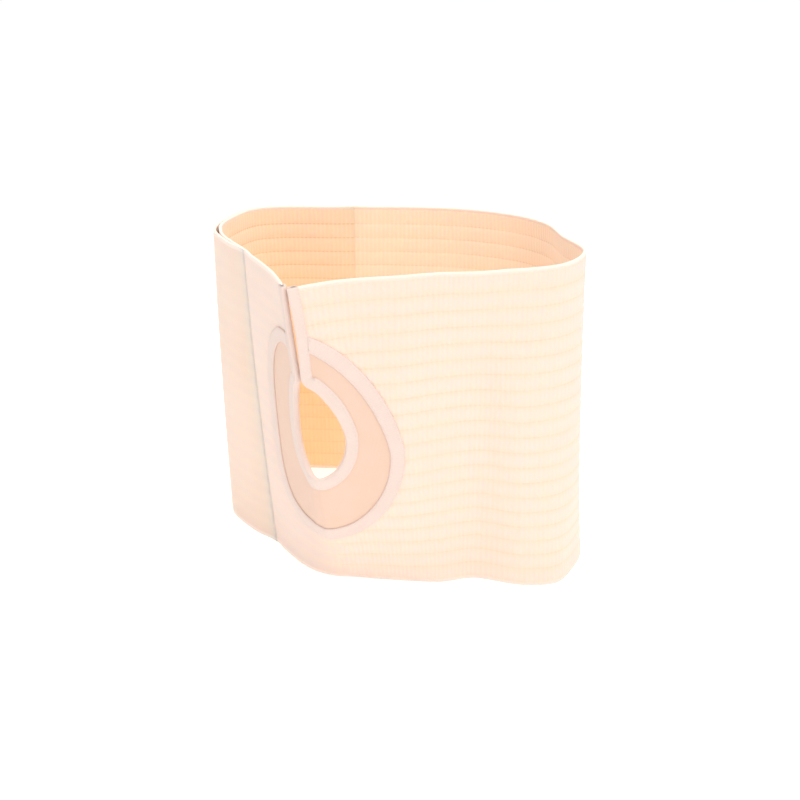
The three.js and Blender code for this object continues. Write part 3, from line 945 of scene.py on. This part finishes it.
@dataclass
class ElasticBand:
    """The ribbed band, one strip closed into a ring with its ends overlapping on the left."""

    wall: BeltWall
    finish: RibbedElastic
    thickness: float = 0.0024
    ribs: int = 20
    edge_rib_share: float = 1.25
    groove_depth: float = 0.00055
    selvage: float = 0.0026
    selvage_foot: float = 0.00085
    selvage_half: float = 0.00135
    cut_from_seam: float = 0.00155
    binding_edge: float = 0.0010
    zone_margin: float = 0.014
    column_step: float = 0.0036
    zone_columns: int = 18
    tip: float = 0.024
    outer_thinning: float = 0.80
    outer_sink: float = 0.0004
    inner_thinning: float = 0.55
    inner_sink: float = 0.0
    rib_phases: tuple[float, ...] = (0.0, 0.08, 0.24, 0.5, 0.76, 0.92)
    edge_phases: tuple[float, ...] = (0.15, 0.5, 1.0, 1.3)
    crowding: float = 1.4
    level_share: float = 0.4
    flatness: float = 0.75
    tail: float = 0.110
    tail_fade: float = 0.060
    bare_past_end: float = 0.004
    bare_start: float = 0.006
    bare_reach: float = 0.020
    bare_fade: float = 0.040
    # Where the inner layer's tail zone starts and how far it fades in; it gets darker painted shade and
    # sharp painted groove shade.
    crisp_from: float = 0.120
    crisp_fade: float = 0.040
    selvage_reach: float = 1.3
    selvage_fade: float = 0.4

    @property
    def start(self) -> float:
        """Where along the band the inner end lies."""
        return -self.wall.inner_end

    @property
    def end(self) -> float:
        """Where along the band the outer end lies, once round from the slit."""
        return self.wall.lap - self.wall.outer_end

    def rows(self) -> tuple[Array, Array]:
        """Heights of the grid's rows and the rib number, with its fraction, at each.

        Returns:
            The heights and the rib numbers, from the foot to the rim.
        """
        pitch = self.wall.height / (self.ribs - 2 + 2 * self.edge_rib_share)
        tall = np.full(self.ribs, pitch)
        tall[[0, -1]] *= self.edge_rib_share
        feet = np.concatenate([[0.0], np.cumsum(tall)])
        phases = np.array(self.rib_phases)
        ribs = np.append((np.arange(self.ribs)[:, None] + phases[None, :]).ravel(), self.ribs)
        edge = self.selvage / tall[0] * np.array(self.edge_phases)
        ribs = np.unique(np.concatenate([ribs, edge, self.ribs - edge]).round(5))
        return np.interp(ribs, np.arange(self.ribs + 1), feet), ribs

    def half_thickness(self, ribs: Array, ups: Array) -> Array:
        """Half the cloth's thickness at each row.

        A rib swells from its groove by one less the fourth power of the distance from its middle.
        A selvage is a bead: the square root of one less the square of the distance from its middle.

        Args:
            ribs: The rib number at each row.
            ups: The rows' heights.

        Returns:
            One half thickness for each row.
        """
        off = np.abs(2 * (ribs - np.floor(ribs)) - 1)
        swell = 1 - off**4
        half = self.thickness / 2 - self.groove_depth * (1 - swell)
        from_edge = np.minimum(ups, self.wall.height - ups)
        bead = np.clip(1 - (2 * from_edge / self.selvage - 1) ** 2, 0.0, 1.0) ** 0.5
        in_edge = from_edge <= self.selvage + TOUCHING
        return np.where(in_edge, self.selvage_foot + (self.selvage_half - self.selvage_foot) * bead, half)

    def bare(self, along: Array) -> Array:
        """How much of the smooth end zone there is: 1 from the outer end to the slit, 0 beyond."""
        from_end = smooth_step((along + self.wall.outer_end + self.bare_past_end) / self.bare_start)
        return from_end * smooth_step((self.bare_reach - along) / self.bare_fade)

    def cut_edge(self, ups: Array, side: Side) -> Array:
        """How far the cut edge lies from the slit line at each height.

        Args:
            ups: The rows' heights.
            side: Which side of the slit.

        Returns:
            Distances from the slit line, 0 below the seam.
        """
        slit = KEYHOLE.slit_half + self.binding_edge
        width = SEAM.half_width(ups, side, self.cut_from_seam)
        top = SEAM.middle + SEAM.top[side]
        bottom = SEAM.middle - SEAM.bottom - self.cut_from_seam
        return np.where(ups > top, slit, np.where(ups > bottom, np.maximum(width, slit), 0.0))

    def columns(self, ups: Array) -> tuple[Array, int]:
        """Places along the band for every row, drawn to the cut edge near the keyhole.

        Within a zone beside the keyhole, the columns crowd towards the cut: their shares of the way
        from it are even shares to the power of the crowding.

        Args:
            ups: The rows' heights.

        Returns:
            One row of places for each height, and the number of the last column before the keyhole.
        """
        zones = {side: reach + self.zone_margin for side, reach in SEAM.reach.items()}
        spans = [(self.start, -zones[Side.LEFT]), (zones[Side.RIGHT], self.end)]
        before, after = (np.linspace(a, b, round((b - a) / self.column_step) + 1) for a, b in spans)
        shares = np.linspace(0.0, 1.0, self.zone_columns + 1) ** self.crowding
        zone = {}
        for side, reach in zones.items():
            edge = self.cut_edge(ups, side)[:, None]
            zone[side] = side.value * (edge + (reach - edge) * shares[None, :])
        tall = len(ups)
        along = np.hstack([np.tile(before[:-1], (tall, 1)), zone[Side.LEFT][:, ::-1], zone[Side.RIGHT],
                           np.tile(after[1:], (tall, 1))])
        return along, len(before) - 1 + self.zone_columns

    def section(self, along: Array, half: Array, flat: Array) -> tuple[Array, Array]:
        """The strip's section at every place.

        Where the cloth is flat, its ribs fade to an even thickness. Towards its two ends it thins and
        its middle moves to the other layer.

        Args:
            along: Distances along the band.
            half: Half the ribbed cloth's thickness, one for each row.
            flat: How flat the cloth is, from 0 to 1.

        Returns:
            The middle's distance off the wall, and half the thickness.
        """
        even = self.thickness / 2 - self.level_share * self.groove_depth
        half = half[:, None] + (even - half[:, None]) * flat
        outer_tip = smooth_step((along - self.end + self.tip) / self.tip)
        inner_tip = smooth_step((self.start + self.tip - along) / self.tip)
        middle = np.zeros_like(along)
        for share, thinning, sink, outward in ((outer_tip, self.outer_thinning, self.outer_sink, -1.0),
                                               (inner_tip, self.inner_thinning, self.inner_sink, 1.0)):
            tip_half = even * (1 - thinning)
            settle = self.wall.layer_step - self.thickness / 2 - tip_half + sink
            half = half + (tip_half - half) * share
            middle = middle + outward * settle * share
        return middle, half

    def marks(self, along: Array, up: Array, rib: Array, flat: Array) -> dict[str, Array]:
        """The values that the finish reads.

        Args:
            along: Distances along the band.
            up: Heights on the cloth.
            rib: Rib numbers.
            flat: How flat the cloth is.

        Returns:
            Each value by its name, for the outer face's places and then for the inner face's.
        """
        inner = np.repeat([0.0, 1.0], along.size)
        from_edge = np.minimum(up, self.wall.height - up).ravel()
        selvage = smooth_step((self.selvage * self.selvage_reach - from_edge)
                              / (self.selvage * self.selvage_fade))
        # The inner face gets painted bounce light; its tail zone gets darker painted shade and sharp painted
        # groove shade.
        crisp_shade_zone = smooth_step((-self.crisp_from - along.ravel()) / self.crisp_fade)
        return {
            "rib": np.tile(rib.ravel(), 2),
            "inner": inner,
            "selvage": np.tile(selvage, 2),
            "crisp_shade_zone": np.tile(crisp_shade_zone, 2) * inner,
            "flat": np.tile(flat.ravel(), 2) * (1 - inner),
            "bare": np.tile(self.bare(along).ravel(), 2) * (1 - inner),
        }

    def build(self) -> bpy.types.Object:
        """Builds the strip as one grid of cloth places with the keyhole left out.

        Returns:
            The band.
        """
        ups, ribs = self.rows()
        along, keyhole = self.columns(ups)
        tall, wide = along.shape
        up = np.tile(ups[:, None], (1, wide))
        rib = np.tile(ribs[:, None], (1, wide))
        tail = smooth_step((along - self.end + self.tail) / self.tail_fade)
        flat = self.flatness * tail + self.flatness * self.bare(along)
        middle, half = self.section(along, self.half_thickness(ribs, ups), flat)
        gone = np.zeros(wide - 1, dtype=bool)
        gone[keyhole] = True
        same = np.arange(tall * wide).reshape(tall, wide)
        shut = along[:, keyhole + 1] - along[:, keyhole] < TOUCHING
        same[shut, keyhole + 1] = same[shut, keyhole]
        faces = wall_faces(tall, wide, gone, same.ravel())
        points = np.vstack([self.wall.points(along, up, middle + face * half).reshape(-1, 3)
                            for face in (1, -1)])
        cloth = np.tile(np.stack([along.ravel(), up.ravel()], axis=1), (2, 1))
        return ClothMesh("ribbed_band", points, faces, cloth, self.marks(along, up, rib, flat)).build()

    def dress(self, piece: bpy.types.Object) -> None:
        """Gives the band its finish, sets it under the root body and hides the imported band.

        Args:
            piece: The band.
        """
        piece.data.materials.append(self.finish.material())
        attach(piece, "root")
        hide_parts("elastic_band")


def spokes(side: Side, height: float) -> tuple[Array, Array]:
    """Keyhole points inside the panel, each with the angle of its place on the panel's outer edge.

    The angles go evenly with the distance along the keyhole, from beside the slit to the foot.

    Args:
        side: Which side of the slit.
        height: The band's height.

    Returns:
        The keyhole rows and their angles.
    """
    edge = KEYHOLE.one_side(side, height)
    top = SEAM.top_at(KEYHOLE.beside, side, -PANEL_FROM_SEAM)
    inside = edge[edge[:, 1] < top - PIECE_GAP]
    first = edge[:1].copy()
    first[0, 1] = top
    rows = np.vstack([first, inside])
    lengths = path_lengths(rows[:, :2])
    start = math.acos((KEYHOLE.beside / SEAM.reach[side]) ** (SEAM.top_fullness[side] / 2))
    turned = start - (start + math.pi / 2) * lengths / lengths[-1]
    return rows, turned if side is Side.RIGHT else math.pi - turned


def all_spokes(height: float) -> tuple[Array, Array]:
    """The spokes of both sides in one row, down the right side and up the left one.

    Args:
        height: The band's height.

    Returns:
        The keyhole rows and their angles.
    """
    right, right_angles = spokes(Side.RIGHT, height)
    left, left_angles = spokes(Side.LEFT, height)
    return np.vstack([right, left[:-1][::-1]]), np.concatenate([right_angles, left_angles[:-1][::-1]])


@dataclass
class OpeningPanel:
    """The smooth panel round the opening, open at the slit."""

    wall: BeltWall
    finish: SmoothKnit
    thickness: float = 0.0018
    edge_from_binding: float = 0.0010
    steps: int = 26
    fullness: float = 0.0006

    def build(self) -> bpy.types.Object:
        """Builds the panel as a grid of spokes from the keyhole's edge to the seam.

        Between its bound edge and its seam the cloth swells a little: the fullness times the sine of
        half a turn times the share of the way across.

        Returns:
            The panel.
        """
        rows, angles = all_spokes(self.wall.height)
        outer_along, outer_up, _, _ = SEAM.point(angles, -PANEL_FROM_SEAM)
        bound = rows[:, :2] + rows[:, 2:4] * self.edge_from_binding
        share = np.linspace(0.0, 1.0, self.steps + 1)
        along = bound[:, :1] + (outer_along[:, None] - bound[:, :1]) * share
        up = bound[:, 1:2] + (outer_up[:, None] - bound[:, 1:2]) * share
        swell = np.tile(self.fullness * np.sin(math.pi * share), (len(rows), 1))
        half = self.thickness / 2
        count = along.size
        gone = np.zeros(self.steps, dtype=bool)
        faces = wall_faces(len(rows), self.steps + 1, gone, np.arange(count))
        front = self.wall.points(along, up, swell - half).reshape(-1, 3)
        back = self.wall.points(along, up, swell + half).reshape(-1, 3)
        cloth = np.stack([along.ravel(), up.ravel()], axis=1)
        points = np.vstack([front, back])
        return ClothMesh("opening_panel_knit", points, faces[:, ::-1], np.tile(cloth, (2, 1))).build()

    def dress(self, piece: bpy.types.Object) -> None:
        """Gives the panel its finish, sets it under the root body and hides the imported panel.

        Args:
            piece: The panel.
        """
        piece.data.materials.append(self.finish.material())
        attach(piece, "root")
        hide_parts("opening_panel")


def tape_ring(width: float, foot: float, crown: float, steps: int) -> tuple[Array, Array]:
    """One face of a tape's section: from its low edge over a soft crown to the other edge.

    The height over the cloth is the foot plus the crown times the fourth root of one less the
    fourth power of the distance from the tape's middle.

    Args:
        width: The tape's width.
        foot: The height over the wall's middle at the tape's edges.
        crown: How much higher the middle stands.
        steps: How many steps across.

    Returns:
        Distances across, from 0 to the width, and the heights over the wall's middle.
    """
    across = (1 - np.cos(np.linspace(0.0, math.pi, steps + 1))) / 2
    off = np.abs(2 * across - 1)
    return across * width, foot + crown * (1 - off**4) ** 0.25


def tape_marks(share: Array, edge_shade_from: float, stitch_at: float, stitch_reach: float) -> dict[str, Array]:
    """How near each point of a tape's section is to the tape's edge and to its stitched line.

    The edge's value rises evenly to 1; it sets the painted shade along the tape's edges. The stitched
    line's is a bell, the exponential of less the square of the distance from the line.

    Args:
        share: How far towards the edge each point lies.
        edge_shade_from: Where the edge's value starts.
        stitch_at: Where the stitched line is.
        stitch_reach: How wide the stitched line is.

    Returns:
        Each value by its name.
    """
    return {
        # How much painted shade darkens the tape towards its edges.
        "edge": np.clip((share - edge_shade_from) / (1 - edge_shade_from), 0.0, 1.0),
        "stitched": np.exp(-(((share - stitch_at) / stitch_reach) ** 2)),
    }


def tape_mesh(name: str, points: Array, lengths: Array, across: Array,
              marks: dict[str, Array]) -> bpy.types.Object:
    """Makes a tape from its section's points at every station, with closed ends.

    Args:
        name: The piece's name.
        points: The section's points, one row for each station.
        lengths: How far along the tape each station lies.
        across: How far across the tape each point lies.
        marks: The section's values for the finish.

    Returns:
        The tape.
    """
    stations, ring = points.shape[:2]
    cloth = np.stack([np.tile(lengths[:, None], (1, ring)), across], axis=-1)
    ends, cloth_ends = ([rows[k].mean(axis=0) for k in (0, -1)] for rows in (points, cloth))
    values = {key: np.append(np.tile(value, stations), [0.0, 0.0]) for key, value in marks.items()}
    return ClothMesh(name, np.vstack([points.reshape(-1, 3), *ends]), swept_faces(stations, ring),
                     np.vstack([cloth.reshape(-1, 2), *cloth_ends]), values).build()


@dataclass
class KeyholeBinding:
    """The tape folded over the keyhole's edge, down one side of the slit and up the other."""

    wall: BeltWall
    finish: WovenTape
    foot: float = 0.0013
    crown: float = 0.0013
    proud: float = 0.0005
    steps: int = 14
    inner_face: Span = (0.14, 0.96)
    # Where the painted shade along the edges starts across the tape.
    edge_shade_from: float = 0.90
    stitch_at: float = 0.80
    stitch_reach: float = 0.07

    def build(self) -> bpy.types.Object:
        """Carries the folded tape's section along the keyhole's edge.

        The section's outline goes over the outer face, round the fold and back over the inner face,
        and returns just over the cloth. The two ends stand a little proud of the rim.

        Returns:
            The binding.
        """
        stations = KEYHOLE.whole(self.wall.height)
        across, lift = tape_ring(1.0, self.foot, self.crown, self.steps)
        outer = np.stack([across[::-1], lift[::-1]], axis=1)
        inner = np.stack([across, -lift], axis=1)
        inside = self.foot - TAPE_EDGE
        fold, rim = self.inner_face
        back = np.array([[rim, -inside], [fold, -inside], [fold, inside], [rim, inside]])
        outline = np.vstack([outer[:-1], inner[1:], back])
        depth = outline[None, :, 0] * stations[:, 4:5]
        along = stations[:, 0:1] + stations[:, 2:3] * depth
        up = stations[:, 1:2] + stations[:, 3:4] * depth
        out = np.tile(outline[:, 1], (len(stations), 1))
        points = self.wall.points(along, np.clip(up, 0.0, self.wall.height), out)
        points[[0, -1], :, 2] += self.proud
        marks = tape_marks(outline[:, 0], self.edge_shade_from, self.stitch_at, self.stitch_reach)
        return tape_mesh("keyhole_binding", points, path_lengths(stations[:, :2]), depth, marks)

    def dress(self, piece: bpy.types.Object) -> None:
        """Gives the binding its finish, sets it under the root body and hides the imported binding.

        Args:
            piece: The binding.
        """
        piece.data.materials.append(self.finish.material())
        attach(piece, "root")
        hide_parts("opening_binding")


@dataclass
class SeamTape:
    """The tape over the seam between the panel and the band, on both faces."""

    wall: BeltWall
    finish: WovenTape
    width: float = 0.011
    foot: float = 0.0013
    crown: float = 0.0012
    web: float = 0.00035
    steps: int = 12
    inner_face: float = 0.97
    # Where the painted shade along the edges starts across the tape.
    edge_shade_from: float = 0.86
    stitch_at: float = 0.66
    stitch_reach: float = 0.10

    def build(self) -> bpy.types.Object:
        """Carries the doubled tape's section along the seam, from one side of the slit to the other.

        A thin web through the seam joins the tape's two faces.

        Returns:
            The seam tape.
        """
        _, angles = all_spokes(self.wall.height)
        across, lift = tape_ring(self.width, self.foot, self.crown, self.steps)
        across = across - self.width / 2
        inside = self.foot - TAPE_EDGE
        reach = self.width / 2 * self.inner_face
        outline = np.vstack([
            np.stack([across[::-1], -lift[::-1]], axis=1),
            [[-reach, -inside], [-self.web, -inside], [-self.web, inside], [-reach, inside]],
            np.stack([across, lift], axis=1),
            [[reach, inside], [self.web, inside], [self.web, -inside], [reach, -inside]],
        ])[::-1]
        grow = np.tile(outline[:, 0], (len(angles), 1))
        along, up, _, away_up = SEAM.point(angles[:, None], grow)
        for row, side in ((0, Side.RIGHT), (-1, Side.LEFT)):
            along[row] = side.value * KEYHOLE.beside
            up[row] = SEAM.top_at(KEYHOLE.beside, side) + outline[:, 0] / away_up[row]
        out = np.tile(outline[:, 1], (len(angles), 1))
        points = self.wall.points(along, up, out)
        lengths = path_lengths(np.stack(SEAM.point(angles)[:2], axis=1))
        far = np.abs(outline[:, 0]) / (self.width / 2)
        marks = tape_marks(far, self.edge_shade_from, self.stitch_at, self.stitch_reach)
        return tape_mesh("seam_tape", points, lengths, grow, marks)

    def dress(self, piece: bpy.types.Object) -> None:
        """Gives the tape its finish, sets it under the root body and hides the imported seam tape.

        Args:
            piece: The seam tape.
        """
        piece.data.materials.append(self.finish.material())
        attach(piece, "root")
        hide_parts("panel_seam_tape")


@dataclass
class HiddenFastener:
    """The hook and loop strip between the band's two layers, near the outer end."""

    wall: BeltWall
    finish: HookAndLoop
    thickness: float = 0.0010
    length: float = 0.042
    end_margin: float = 0.020
    edge_margin: float = 0.0158
    column_step: float = 0.003
    row_step: float = 0.006

    def build(self) -> bpy.types.Object:
        """Builds the strip as an even grid of cloth places between the layers.

        Returns:
            The fastener.
        """
        near = -self.wall.outer_end - self.end_margin
        far = near - self.length
        low, high = self.edge_margin, self.wall.height - self.edge_margin
        across = np.linspace(far, near, round(self.length / self.column_step) + 1)
        ups = np.linspace(low, high, round((high - low) / self.row_step) + 1)
        along, up = np.meshgrid(across, ups)
        middle, half = self.wall.layer_step / 2, self.thickness / 2
        gone = np.zeros(len(across) - 1, dtype=bool)
        faces = wall_faces(len(ups), len(across), gone, np.arange(along.size))
        points = np.vstack([self.wall.points(along, up, middle + face * half).reshape(-1, 3)
                            for face in (1, -1)])
        cloth = np.tile(np.stack([along.ravel(), up.ravel()], axis=1), (2, 1))
        return ClothMesh("fastener_strip", points, faces, cloth).build()

    def dress(self, piece: bpy.types.Object) -> None:
        """Gives the fastener its finish, sets it under the root body and hides the imported fastener.

        Args:
            piece: The fastener.
        """
        piece.data.materials.append(self.finish.material())
        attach(piece, "root")
        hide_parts("hidden_fastener")


@dataclass(frozen=True)
class SoftLamp:
    """A square soft light that hangs at one place and faces another."""

    name: str
    place: Place
    aim: Place
    size: float
    power: float
    colour: Colour = (1.0, 1.0, 1.0)

    def hang(self) -> None:
        """Makes the light and turns it towards its aim."""
        data = bpy.data.lights.new(self.name, "AREA")
        data.shape = "SQUARE"
        data.size = self.size
        data.energy = self.power
        data.color = self.colour
        made = bpy.data.objects.new(self.name, data)
        made.location = self.place
        made.rotation_mode = "QUATERNION"
        made.rotation_quaternion = (Vector(self.aim) - Vector(self.place)).to_track_quat("-Z", "Y")
        bpy.context.scene.collection.objects.link(made)


LAMPS = (
    SoftLamp("key_light", (0.6, -1.4, 1.9), (0.05, 0.0, 0.12), size=1.2, power=13.0),
    SoftLamp("top_light", (0.0, 0.1, 1.8), (0.0, 0.0, 0.0), size=0.9, power=13.0),
    SoftLamp("inside_light", (0.0, -0.05, 0.10), (-0.10, 0.10, 0.12), size=0.10, power=0.07,
             colour=(1.0, 0.55, 0.28)),
)


@dataclass
class Studio:
    """The floor, the soft light and the camera."""

    floor_size: float = 40.0
    floor_colour: Colour = (0.96, 0.96, 0.96)
    floor_glow: float = 0.21
    sky: float = 0.83
    camera_place: Place = (0.0006, -0.8156, 0.463)
    camera_pitch: float = 67.25
    lens: float = 47.25
    sensor: float = 36.0

    def build(self) -> bpy.types.Object:
        """Lays the floor.

        Returns:
            The floor.
        """
        reach = self.floor_size / 2
        corners = [(-reach, -reach, 0.0), (reach, -reach, 0.0), (reach, reach, 0.0), (-reach, reach, 0.0)]
        mesh = bpy.data.meshes.new("floor")
        mesh.from_pydata(corners, [], [(0, 1, 2, 3)])
        floor = bpy.data.objects.new("floor", mesh)
        bpy.context.scene.collection.objects.link(floor)
        material = bpy.data.materials.new("floor_finish")
        material.use_nodes = True
        shader = material.node_tree.nodes["Principled BSDF"]
        shader.inputs["Base Color"].default_value = (*self.floor_colour, 1.0)
        shader.inputs["Roughness"].default_value = 1.0
        shader.inputs["Specular IOR Level"].default_value = 0.0
        shader.inputs["Emission Color"].default_value = (1.0, 1.0, 1.0, 1.0)
        shader.inputs["Emission Strength"].default_value = self.floor_glow
        mesh.materials.append(material)
        return floor

    def dress(self, floor: bpy.types.Object) -> None:
        """Sets the sky, the lights, the camera and a plain view of the light over the floor.

        Args:
            floor: The floor, which needs nothing more; it is not used.
        """
        scene = bpy.context.scene
        world = bpy.data.worlds.new("studio_sky")
        world.use_nodes = True
        back = world.node_tree.nodes["Background"]
        back.inputs["Color"].default_value = (1.0, 1.0, 1.0, 1.0)
        back.inputs["Strength"].default_value = self.sky
        scene.world = world
        for lamp in LAMPS:
            lamp.hang()
        scene.view_settings.view_transform = "Standard"
        camera = bpy.data.cameras.new("camera")
        camera.lens = self.lens
        camera.sensor_width = self.sensor
        made = bpy.data.objects.new("camera", camera)
        made.location = self.camera_place
        made.rotation_euler = (math.radians(self.camera_pitch), 0.0, 0.0)
        scene.collection.objects.link(made)
        scene.camera = made


def plain(box: tuple) -> list[list[float]]:
    """A box's two corners as plain lists of numbers."""
    return [[float(x) for x in corner] for corner in box]


def centred_wall() -> BeltWall:
    """The wall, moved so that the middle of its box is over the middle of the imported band's box.

    Returns:
        The moved wall.
    """
    wall = BeltWall()
    rows, columns = 41, 1200
    ups = np.linspace(0.0, wall.height, rows)
    along, up = np.meshgrid(np.linspace(-wall.inner_end, wall.lap - wall.outer_end, columns), ups)
    reach = wall.points(along, up, np.zeros_like(along)).reshape(-1, 3)
    low, high = (np.array(corner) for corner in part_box("elastic_band"))
    ours = (reach.min(axis=0) + reach.max(axis=0)) / 2
    theirs = (low + high) / 2
    wall.shift = (float(theirs[0] - ours[0]), float(theirs[1] - ours[1]))
    return wall


def main() -> None:
    """Builds the pieces in order, dresses them and reports each one."""
    logging.basicConfig(level=logging.INFO, format="%(name)s: %(message)s")
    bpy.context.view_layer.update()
    wall = centred_wall()
    log.info("wall shift %.4f %.4f, lap %.4f", *wall.shift, wall.lap)
    parts = (
        Studio(),
        ElasticBand(wall, RibbedElastic()),
        OpeningPanel(wall, SmoothKnit()),
        KeyholeBinding(wall, WovenTape("folded_tape_finish", Weave.PLAIN_TAPE)),
        SeamTape(wall, WovenTape("woven_tape_finish", Weave.RIBBED_TAPE)),
        HiddenFastener(wall, HookAndLoop()),
    )
    for part in parts:
        piece = part.build()
        part.dress(piece)
        log.info("%s: %d vertices, %d faces", piece.name, len(piece.data.vertices), len(piece.data.polygons))


if __name__ == "__main__":
    main()
